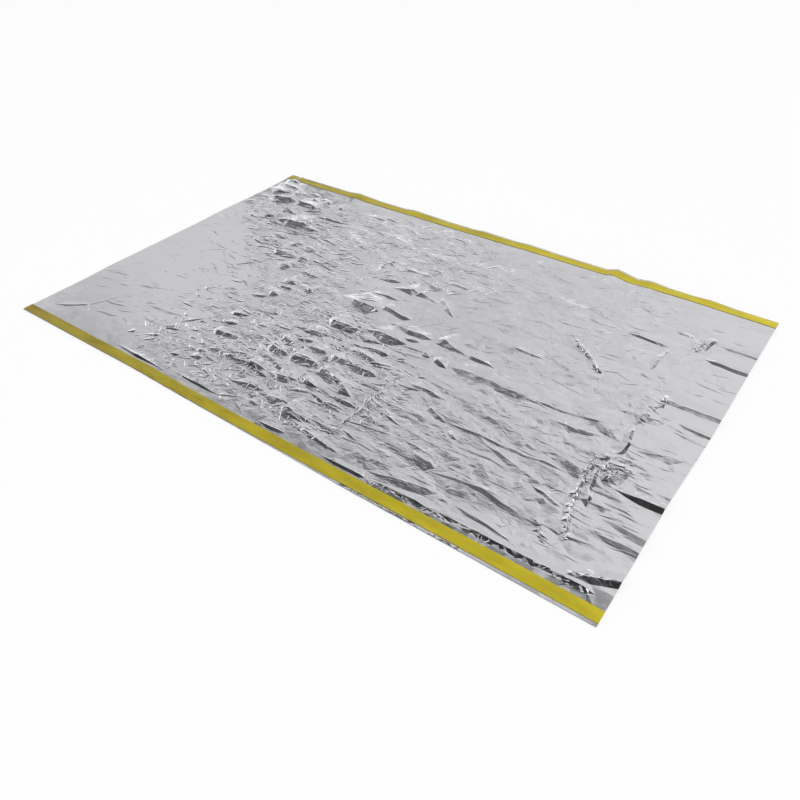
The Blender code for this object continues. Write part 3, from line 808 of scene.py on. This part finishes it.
def sheet_triangles(chains):
    """The film's plan, cut into triangles along its folds and its tapes.

    Also tells which of its points lie free of every such line.
    """
    bounds = {
        "near": long_line(near_edge),
        "near_outer": long_line(near_tape_outer),
        "near_inner": long_line(near_tape_inner),
        "far_inner": long_line(far_tape_inner),
        "far_outer": long_line(far_tape_outer),
        "far": long_line(far_edge),
    }
    left = short_line(LEFT_EDGE, bounds["near_inner"][0][1], bounds["far_inner"][0][1])
    right = short_line(RIGHT_EDGE, bounds["near_inner"][-1][1], bounds["far_inner"][-1][1])
    rim = list(bounds["near"])
    rim += [bounds["near_outer"][-1], bounds["near_inner"][-1]] + right
    rim += [bounds["far_inner"][-1], bounds["far_outer"][-1]] + bounds["far"][::-1]
    rim += [bounds["far_outer"][0], bounds["far_inner"][0]] + left[::-1]
    rim += [bounds["near_inner"][0], bounds["near_outer"][0]]

    segments = list(zip(rim, rim[1:] + rim[:1]))
    for name in ("near_outer", "near_inner", "far_inner", "far_outer"):
        segments += list(zip(bounds[name], bounds[name][1:]))
    for fold in FOLDS:
        segments += chain_lines(fold_chain(fold))
    for chain, _ in chains:
        segments += chain_lines(chain)
    segments = cut_up(segments + packing_lines())

    points = list(rim)
    edges = []
    for start, end in segments:
        edges.append((len(points), len(points) + 1))
        points += [start, end]
    lined = len(points)
    limits = [spacing.strength for spacing in SPACINGS] + [math.inf]
    for spacing, least, most in zip(SPACINGS, limits, limits[1:]):
        x, y = lattice(spacing)
        here = strength(FINE_PATCHES, x, y)
        keep = inside_film(x, y, CLEAR_OF_LINES) & (here > least) & (here <= most)
        x = x[keep]
        y = y[keep]
        keep = distance_from(segments, x, y) > CLEAR_OF_LINES
        points += list(zip(x[keep], y[keep]))
    x, y = crease_points()
    keep = distance_from(segments, x, y) > MERGE_DISTANCE * 2
    points += list(zip(x[keep], y[keep]))

    result = delaunay_2d_cdt(
        [(float(x), float(y)) for x, y in points],
        edges,
        [list(range(len(rim)))],
        1,
        MERGE_DISTANCE,
        True,
    )
    plan = np.array([tuple(point) for point in result[0]])
    triangles = np.array([list(face) for face in result[2]])
    centre = plan[triangles].mean(axis=1)
    kept = inside_film(centre[:, 0], centre[:, 1], 0)
    free = np.array([bool(came_from) and min(came_from) >= lined for came_from in result[3]])
    return plan, triangles[kept], free


def inner_share(x, y):
    """1 over the open film, falling to a little on the stiffer taped edges."""
    near = (y - near_tape_inner(x)) / TAPE_STIFFENS
    far = (far_tape_inner(x) - y) / TAPE_STIFFENS
    return np.clip(np.minimum(near, far), TAPE_KEEPS, 1)


def sheet_height(chains, x, y, free):
    """Height of the finely wrinkled film, over the surface that it lies on."""
    u, v = warp(x, y)
    wrinkles = np.zeros_like(x)
    for chain, slope in chains:
        wrinkles = np.maximum(wrinkles, chain_height(chain, slope, x, y))
    rng = np.random.default_rng(LOOSE_SEED)
    loose = free * (rng.random(x.shape) - 0.5)
    loud = 1 - CALM_SHARE * np.clip(ridge_height(x, y) / CALM_FROM, 0, 1)
    detail = wrinkles
    for layers, patches, loose_share in (
        (FINE_LAYERS, FINE_PATCHES, FACET_SHARE),
        (FLAT_LAYERS, FLAT_PATCHES, FLAT_FACET_SHARE),
        (STREAK_LAYERS, STREAK_PATCHES, 0.0),
    ):
        noise = sum(layer.share * (facet_noise(u, v, layer) - 0.5) for layer in layers)
        noise += loose_share * loose
        detail = detail + loud * strength(patches, x, y) * noise
    detail *= inner_share(x, y)
    detail += crease_height(x, y) * rng.random(x.shape)
    return np.maximum(film_height(x, y) + detail * corner_share(x, y), 0)


def sway(plan):
    """Move the plan a little to and fro, so that no fold is dead straight.

    Two waves each way: their heights and lengths are in millimetres.
    """
    x = plan[:, 0]
    y = plan[:, 1]
    room = np.minimum(y - near_tape_inner(x), far_tape_inner(x) - y)
    room = np.minimum(room, np.minimum(x - line(LEFT_EDGE, y), line(RIGHT_EDGE, y) - x))
    share = np.clip(room / SWAY_ROOM, 0, 1)
    move_x = 2.2 * np.sin(y / 17 + x / 41) + 1.4 * np.sin(y / 7.3 - x / 29)
    move_y = 2.4 * np.sin(x / 31 + y / 53) + 1.3 * np.sin(x / 13.7 - y / 37)
    return plan + np.column_stack((move_x * share, move_y * share))


def tape_triangles(plan, triangles, inner, outer):
    """The triangles of the film that a tape covers."""
    centre = plan[triangles].mean(axis=1)
    low = np.minimum(inner(centre[:, 0]), outer(centre[:, 0]))
    high = np.maximum(inner(centre[:, 0]), outer(centre[:, 0]))
    covered = (centre[:, 1] > low) & (centre[:, 1] < high)
    return triangles[covered]


def rim_edges(triangles):
    """The directed edges that only one triangle has."""
    directed = {}
    for a, b, c in triangles:
        for edge in ((a, b), (b, c), (c, a)):
            directed[edge] = True
    return [(a, b) for a, b in directed if (b, a) not in directed]


def make_sheet(name, plan, triangles, under, thickness):
    """A closed sheet: its top, its underside and a wall round its rim."""
    used, compact = np.unique(triangles, return_inverse=True)
    compact = compact.reshape(triangles.shape)
    count = len(used)
    bottom = np.column_stack((plan[used], under[used]))
    top = bottom + np.array((0, 0, thickness))
    vertices = np.vstack((bottom, top)) * METRES_PER_MM
    faces = [tuple(int(i) + count for i in face) for face in compact]
    faces += [tuple(int(i) for i in face[::-1]) for face in compact]
    faces += [
        (int(a), int(b), int(b) + count, int(a) + count)
        for a, b in rim_edges([tuple(face) for face in compact])
    ]
    mesh = bpy.data.meshes.new(name)
    mesh.from_pydata(vertices.tolist(), [], faces)
    mesh.shade_smooth()
    mesh.set_sharp_from_angle(angle=math.radians(SHARP_FROM))
    piece = bpy.data.objects.new(name, mesh)
    bpy.context.scene.collection.objects.link(piece)
    return piece, used


def dress(piece, node, material):
    """Put a piece in the place of a node of the solid model."""
    piece.data.materials.append(material)
    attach(piece, "root")
    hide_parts(node)


def make_material(name):
    """A new material, its nodes and its shader."""
    material = bpy.data.materials.new(name)
    material.use_nodes = True
    return material, material.node_tree, material.node_tree.nodes["Principled BSDF"]


def stretched_noise(tree, scale, stretch, detail):
    """A noise over the sheet, its cells stretched along the blanket."""
    place = tree.nodes.new("ShaderNodeTexCoord")
    mapping = tree.nodes.new("ShaderNodeMapping")
    mapping.inputs["Scale"].default_value = (scale / stretch, scale, scale)
    noise = tree.nodes.new("ShaderNodeTexNoise")
    noise.inputs["Scale"].default_value = 1.0
    noise.inputs["Detail"].default_value = detail
    tree.links.new(place.outputs["Object"], mapping.inputs["Vector"])
    tree.links.new(mapping.outputs["Vector"], noise.inputs["Vector"])
    return noise


def leaning_facets(tree, scale, stretch, share):
    """A small lean of its own for every flat facet, as a vector."""
    place = tree.nodes.new("ShaderNodeTexCoord")
    mapping = tree.nodes.new("ShaderNodeMapping")
    mapping.inputs["Scale"].default_value = (scale / stretch, scale, scale)
    cells = tree.nodes.new("ShaderNodeTexVoronoi")
    cells.voronoi_dimensions = "2D"
    cells.inputs["Scale"].default_value = 1.0
    lean = tree.nodes.new("ShaderNodeVectorMath")
    lean.operation = "MULTIPLY_ADD"
    lean.inputs[1].default_value = (share, share, 0)
    lean.inputs[2].default_value = (-share / 2, -share / 2, 0)
    tree.links.new(place.outputs["Object"], mapping.inputs["Vector"])
    tree.links.new(mapping.outputs["Vector"], cells.inputs["Vector"])
    tree.links.new(cells.outputs["Color"], lean.inputs[0])
    return lean.outputs["Vector"]


def leaning_normal(tree):
    """The film's own normal, leaning a little from facet to facet."""
    amount = tree.nodes.new("ShaderNodeAttribute")
    amount.attribute_name = "lean"
    normal = tree.nodes.new("ShaderNodeNewGeometry").outputs["Normal"]
    for scale, stretch, share in LEANS:
        scaled = tree.nodes.new("ShaderNodeVectorMath")
        scaled.operation = "SCALE"
        tree.links.new(leaning_facets(tree, scale, stretch, share), scaled.inputs[0])
        tree.links.new(amount.outputs["Fac"], scaled.inputs["Scale"])
        added = tree.nodes.new("ShaderNodeVectorMath")
        tree.links.new(normal, added.inputs[0])
        tree.links.new(scaled.outputs["Vector"], added.inputs[1])
        normal = added.outputs["Vector"]
    unit = tree.nodes.new("ShaderNodeVectorMath")
    unit.operation = "NORMALIZE"
    tree.links.new(normal, unit.inputs[0])
    return unit.outputs["Vector"]


# The film: its colour, its polish from dull to bright, and its finest crinkle
FOIL_COLOUR = (0.853, 0.855, 0.889, 1)
FOIL_ROUGHNESS = (0.05, 0.15)
CRINKLE_DEPTH = 0.0013

# The tape: its colours where it is darker and lighter, the way and reach of the painted light that
# brightens it towards the right and far side, and its creases
TAPE_DARK = (0.185, 0.138, 0.006, 1)
TAPE_LIGHT = (0.607, 0.510, 0.013, 1)
TAPE_PAINTED_LIGHT_TOWARDS = (1.0, 0.5, 0)
TAPE_PAINTED_LIGHT_REACH = 1.3
TAPE_CREASE_DEPTH = 0.003

FLOOR_COLOUR = (0.9, 0.9, 0.9, 1)
FLOOR_REACH = 30.0


def foil_material():
    """Bright metallised film, with a fine crinkle where it is crumpled."""
    material, tree, shader = make_material("metallised film")
    shader.inputs["Base Color"].default_value = FOIL_COLOUR
    shader.inputs["Metallic"].default_value = 1.0
    dull = stretched_noise(tree, 60, 4, 3)
    polish = tree.nodes.new("ShaderNodeMapRange")
    polish.inputs["To Min"].default_value = FOIL_ROUGHNESS[0]
    polish.inputs["To Max"].default_value = FOIL_ROUGHNESS[1]
    tree.links.new(dull.outputs["Fac"], polish.inputs["Value"])
    tree.links.new(polish.outputs["Result"], shader.inputs["Roughness"])
    crinkle = stretched_noise(tree, 190, 3, 4)
    amount = tree.nodes.new("ShaderNodeAttribute")
    amount.attribute_name = "crinkle"
    bump = tree.nodes.new("ShaderNodeBump")
    bump.inputs["Distance"].default_value = CRINKLE_DEPTH
    tree.links.new(crinkle.outputs["Fac"], bump.inputs["Height"])
    tree.links.new(amount.outputs["Fac"], bump.inputs["Strength"])
    tree.links.new(leaning_normal(tree), bump.inputs["Normal"])
    tree.links.new(bump.outputs["Normal"], shader.inputs["Normal"])
    return material


def tape_material():
    """Yellow plastic tape with a soft gloss and slight creases, its random tone mixed with painted
    light that is darker at the near left and brighter at the far right.
    """
    material, tree, shader = make_material("yellow tape")
    tone = stretched_noise(tree, 30, 3, 4)
    place = tree.nodes.new("ShaderNodeTexCoord")
    # Painted light: half of the colour ramp follows the place along the tape, so the tape is painted
    # darker at the near left and brighter at the far right, as if lit from there
    painted_light_place = tree.nodes.new("ShaderNodeVectorMath")
    painted_light_place.operation = "DOT_PRODUCT"
    painted_light_place.inputs[1].default_value = TAPE_PAINTED_LIGHT_TOWARDS
    tree.links.new(place.outputs["Object"], painted_light_place.inputs[0])
    along = tree.nodes.new("ShaderNodeMapRange")
    along.inputs["From Min"].default_value = -TAPE_PAINTED_LIGHT_REACH
    along.inputs["From Max"].default_value = TAPE_PAINTED_LIGHT_REACH
    tree.links.new(painted_light_place.outputs["Value"], along.inputs["Value"])
    mixed = tree.nodes.new("ShaderNodeMix")
    mixed.inputs["Factor"].default_value = 0.5
    tree.links.new(tone.outputs["Fac"], mixed.inputs["A"])
    tree.links.new(along.outputs["Result"], mixed.inputs["B"])
    colour = tree.nodes.new("ShaderNodeValToRGB")
    dark, light = colour.color_ramp.elements
    dark.position = 0.15
    dark.color = TAPE_DARK
    light.position = 0.85
    light.color = TAPE_LIGHT
    tree.links.new(mixed.outputs["Result"], colour.inputs["Fac"])
    tree.links.new(colour.outputs["Color"], shader.inputs["Base Color"])
    shader.inputs["Roughness"].default_value = 0.35
    crease = stretched_noise(tree, 45, 2, 5)
    bump = tree.nodes.new("ShaderNodeBump")
    bump.inputs["Strength"].default_value = 0.5
    bump.inputs["Distance"].default_value = TAPE_CREASE_DEPTH
    tree.links.new(crease.outputs["Fac"], bump.inputs["Height"])
    tree.links.new(bump.outputs["Normal"], shader.inputs["Normal"])
    return material


def make_floor():
    """A broad pale floor."""
    mesh = bpy.data.meshes.new("floor")
    reach = FLOOR_REACH
    corners = ((-reach, -reach, 0), (reach, -reach, 0), (reach, reach, 0), (-reach, reach, 0))
    mesh.from_pydata(corners, [], [(0, 1, 2, 3)])
    floor = bpy.data.objects.new("floor", mesh)
    bpy.context.scene.collection.objects.link(floor)
    material, _, shader = make_material("pale floor")
    shader.inputs["Base Color"].default_value = FLOOR_COLOUR
    shader.inputs["Roughness"].default_value = 0.9
    mesh.materials.append(material)


# The studio, which the film mirrors. WALLS is its light by the height of a
# direction, and DOME by its angle over the blanket's far side, from 0 at the
# far horizon through 90 overhead to 180 at the near one. The dome takes over
# from the walls between the two heights of DOME_FROM.
WALLS = (
    (-0.05, 1.25), (0.10, 1.25), (0.16, 0.93), (0.24, 0.72), (0.34, 0.66), (0.42, 0.65), (1.0, 0.65),
)
DOME = (
    (0, 0.68), (22, 0.68), (29, 0.64), (36, 0.60), (46, 0.63), (51, 0.58), (55, 0.50), (62, 0.34),
    (72, 0.15), (90, 0.12), (100, 0.07), (112, 0.03), (126, 0.05), (138, 0.5), (180, 0.6),
)
DOME_FROM = (0.40, 0.56)
UNEVEN_SCALE = 9.0
UNEVENNESS = 0.14

# Round soft boxes and, where they are dark, screens: a direction, the radius
# in degrees, the light, and the softness of the rim in degrees
Box = namedtuple("Box", "x y z radius light soft")
BOXES = (
    Box(-0.02, 0.76, 0.64, 12, 0.74, 8),
    Box(0.52, 0.66, 0.50, 20, 0.08, 5),
    Box(-0.92, 0.06, 0.40, 11, 1.3, 2),
    Box(0.55, -0.10, 0.83, 12, 2.0, 2),
    Box(-0.658, 0.638, 0.398, 3.4, 0.30, 0.8),
)


def grey_ramp(nodes, stops):
    """A ramp of greys from pairs of place, from 0 to 1, and brightness."""
    ramp = nodes.new("ShaderNodeValToRGB")
    elements = ramp.color_ramp.elements
    while len(elements) > 1:
        elements.remove(elements[-1])
    for index, (place, light) in enumerate(stops):
        stop = elements[0] if index == 0 else elements.new(place)
        stop.position = place
        stop.color = (light, light, light, 1)
    return ramp


def make_world():
    """The studio's light, by direction: walls, dome and soft boxes."""
    world = bpy.data.worlds.new("studio")
    bpy.context.scene.world = world
    world.use_nodes = True
    tree = world.node_tree
    nodes = tree.nodes
    links = tree.links
    place = nodes.new("ShaderNodeTexCoord").outputs["Generated"]
    split = nodes.new("ShaderNodeSeparateXYZ")
    links.new(place, split.inputs[0])

    height = nodes.new("ShaderNodeMapRange")
    height.inputs["From Min"].default_value = -1
    links.new(split.outputs["Z"], height.inputs["Value"])
    walls = grey_ramp(nodes, [((z + 1) / 2, light) for z, light in WALLS])
    links.new(height.outputs["Result"], walls.inputs["Fac"])

    turn = nodes.new("ShaderNodeMath")
    turn.operation = "ARCTAN2"
    links.new(split.outputs["Z"], turn.inputs[0])
    links.new(split.outputs["Y"], turn.inputs[1])
    half_turn = nodes.new("ShaderNodeMapRange")
    half_turn.inputs["From Max"].default_value = math.pi
    links.new(turn.outputs[0], half_turn.inputs["Value"])
    dome = grey_ramp(nodes, [(degrees / 180, light) for degrees, light in DOME])
    links.new(half_turn.outputs["Result"], dome.inputs["Fac"])

    share = nodes.new("ShaderNodeMapRange")
    share.interpolation_type = "SMOOTHSTEP"
    share.inputs["From Min"].default_value = DOME_FROM[0]
    share.inputs["From Max"].default_value = DOME_FROM[1]
    links.new(split.outputs["Z"], share.inputs["Value"])
    mix = nodes.new("ShaderNodeMix")
    mix.data_type = "RGBA"
    links.new(share.outputs["Result"], mix.inputs["Factor"])
    links.new(walls.outputs["Color"], mix.inputs["A"])
    links.new(dome.outputs["Color"], mix.inputs["B"])
    light = add_unevenness(tree, place, mix.outputs["Result"])
    for box in BOXES:
        light = add_box(tree, place, light, box)
    links.new(light, nodes["Background"].inputs["Color"])


def add_unevenness(tree, place, light):
    """Make the studio a little uneven, as its walls and cloths are."""
    noise = tree.nodes.new("ShaderNodeTexNoise")
    noise.inputs["Scale"].default_value = UNEVEN_SCALE
    noise.inputs["Detail"].default_value = 3.0
    tree.links.new(place, noise.inputs["Vector"])
    share = tree.nodes.new("ShaderNodeMapRange")
    share.inputs["From Min"].default_value = 0.3
    share.inputs["From Max"].default_value = 0.7
    share.inputs["To Min"].default_value = 1 - UNEVENNESS
    share.inputs["To Max"].default_value = 1 + UNEVENNESS
    tree.links.new(noise.outputs["Fac"], share.inputs["Value"])
    scaled = tree.nodes.new("ShaderNodeVectorMath")
    scaled.operation = "SCALE"
    tree.links.new(light, scaled.inputs[0])
    tree.links.new(share.outputs["Result"], scaled.inputs["Scale"])
    return scaled.outputs["Vector"]


def add_box(tree, place, light, box):
    """Add a round soft box to the light of the studio's directions."""
    nodes = tree.nodes
    facing = nodes.new("ShaderNodeVectorMath")
    facing.operation = "DOT_PRODUCT"
    facing.inputs[1].default_value = Vector((box.x, box.y, box.z)).normalized()
    tree.links.new(place, facing.inputs[0])
    inside = nodes.new("ShaderNodeMapRange")
    inside.inputs["From Min"].default_value = math.cos(math.radians(box.radius + box.soft))
    inside.inputs["From Max"].default_value = math.cos(math.radians(box.radius - box.soft))
    tree.links.new(facing.outputs["Value"], inside.inputs["Value"])
    mix = nodes.new("ShaderNodeMix")
    mix.data_type = "RGBA"
    mix.clamp_result = False
    tree.links.new(inside.outputs["Result"], mix.inputs["Factor"])
    tree.links.new(light, mix.inputs["A"])
    mix.inputs["B"].default_value = (box.light, box.light, box.light, 1)
    return mix.outputs["Result"]


# The key light: how strong, how broad and how turned, in degrees
KEY_LIGHT = 2.6
KEY_SOFTNESS = 40
KEY_TURN = (-25, 20, 0)


def make_lights():
    """A broad soft key light that the film doesn't mirror."""
    light = bpy.data.lights.new("key", "SUN")
    light.energy = KEY_LIGHT
    light.angle = math.radians(KEY_SOFTNESS)
    key = bpy.data.objects.new("key", light)
    key.rotation_euler = [math.radians(turn) for turn in KEY_TURN]
    key.visible_glossy = False
    bpy.context.scene.collection.objects.link(key)


# Camera: its place over the sheet's own corner, what it looks at, and its roll
CAMERA_PLACE = (2291.3, -879.3, 1310.1)
CAMERA_AIM = (1339.4, 342.2, 0.0)
CAMERA_ROLL = -2.09
CAMERA_LENS = 32.22


def make_camera(middle):
    """The camera, placed from the blanket's middle."""
    data = bpy.data.cameras.new("camera")
    data.lens = CAMERA_LENS
    data.sensor_width = 36.0
    data.clip_end = 200
    camera = bpy.data.objects.new("camera", data)
    over = Vector((*middle, 0))
    place = (Vector(CAMERA_PLACE) - over) * METRES_PER_MM
    aim = (Vector(CAMERA_AIM) - over) * METRES_PER_MM
    camera.location = place
    camera.rotation_euler = (aim - place).to_track_quat("-Z", "Y").to_euler()
    camera.rotation_euler.rotate_axis("Z", math.radians(CAMERA_ROLL))
    bpy.context.scene.collection.objects.link(camera)
    bpy.context.scene.camera = camera


def store(piece, name, amount):
    """Keep a number for every point of the sheet, for its material."""
    attribute = piece.data.attributes.new(name, "FLOAT", "POINT")
    attribute.data.foreach_set("value", np.concatenate((amount, amount)))


def store_crinkle(piece, plan, used):
    """Tell the material how strongly the film is crinkled, and how it leans."""
    x = plan[used, 0]
    y = plan[used, 1]
    store(piece, "crinkle", np.clip(strength(FINE_PATCHES, x, y) / CRINKLE_FULL, LEAST_CRINKLE, 1))
    store(piece, "lean", np.maximum(strength(LEAN_PATCHES, x, y), LEAST_LEAN))


def main():
    """Make the film and its tapes, dress the solids with them, and light them."""
    rng = np.random.default_rng(STREWN_SEED)
    chains = [(chain, zone.slope) for zone in ZONES for chain in strewn(zone, rng)]
    plan, triangles, free = sheet_triangles(chains)
    over_floor = sheet_height(chains, plan[:, 0], plan[:, 1], free)
    under = over_floor + FILM_THICKNESS - SHEET_THICKNESS
    corners = plan[np.unique(triangles)]
    middle = (corners.min(axis=0) + corners.max(axis=0)) / 2
    placed = sway(plan) - middle

    film, used = make_sheet("film", placed, triangles, under, SHEET_THICKNESS)
    store_crinkle(film, plan, used)
    dress(film, "foil_sheet", foil_material())
    yellow = tape_material()
    on_film = under + SHEET_THICKNESS + TAPE_GAP
    for name, node, inner, outer in (
        ("near_tape", "near_edge_tape", near_tape_inner, near_tape_outer),
        ("far_tape", "far_edge_tape", far_tape_inner, far_tape_outer),
    ):
        covered = tape_triangles(plan, triangles, inner, outer)
        tape, used = make_sheet(name, placed, covered, on_film, TAPE_THICKNESS)
        dress(tape, node, yellow)
    make_floor()
    make_world()
    make_lights()
    make_camera(middle)
    bpy.context.scene.view_settings.view_transform = "Standard"


main()
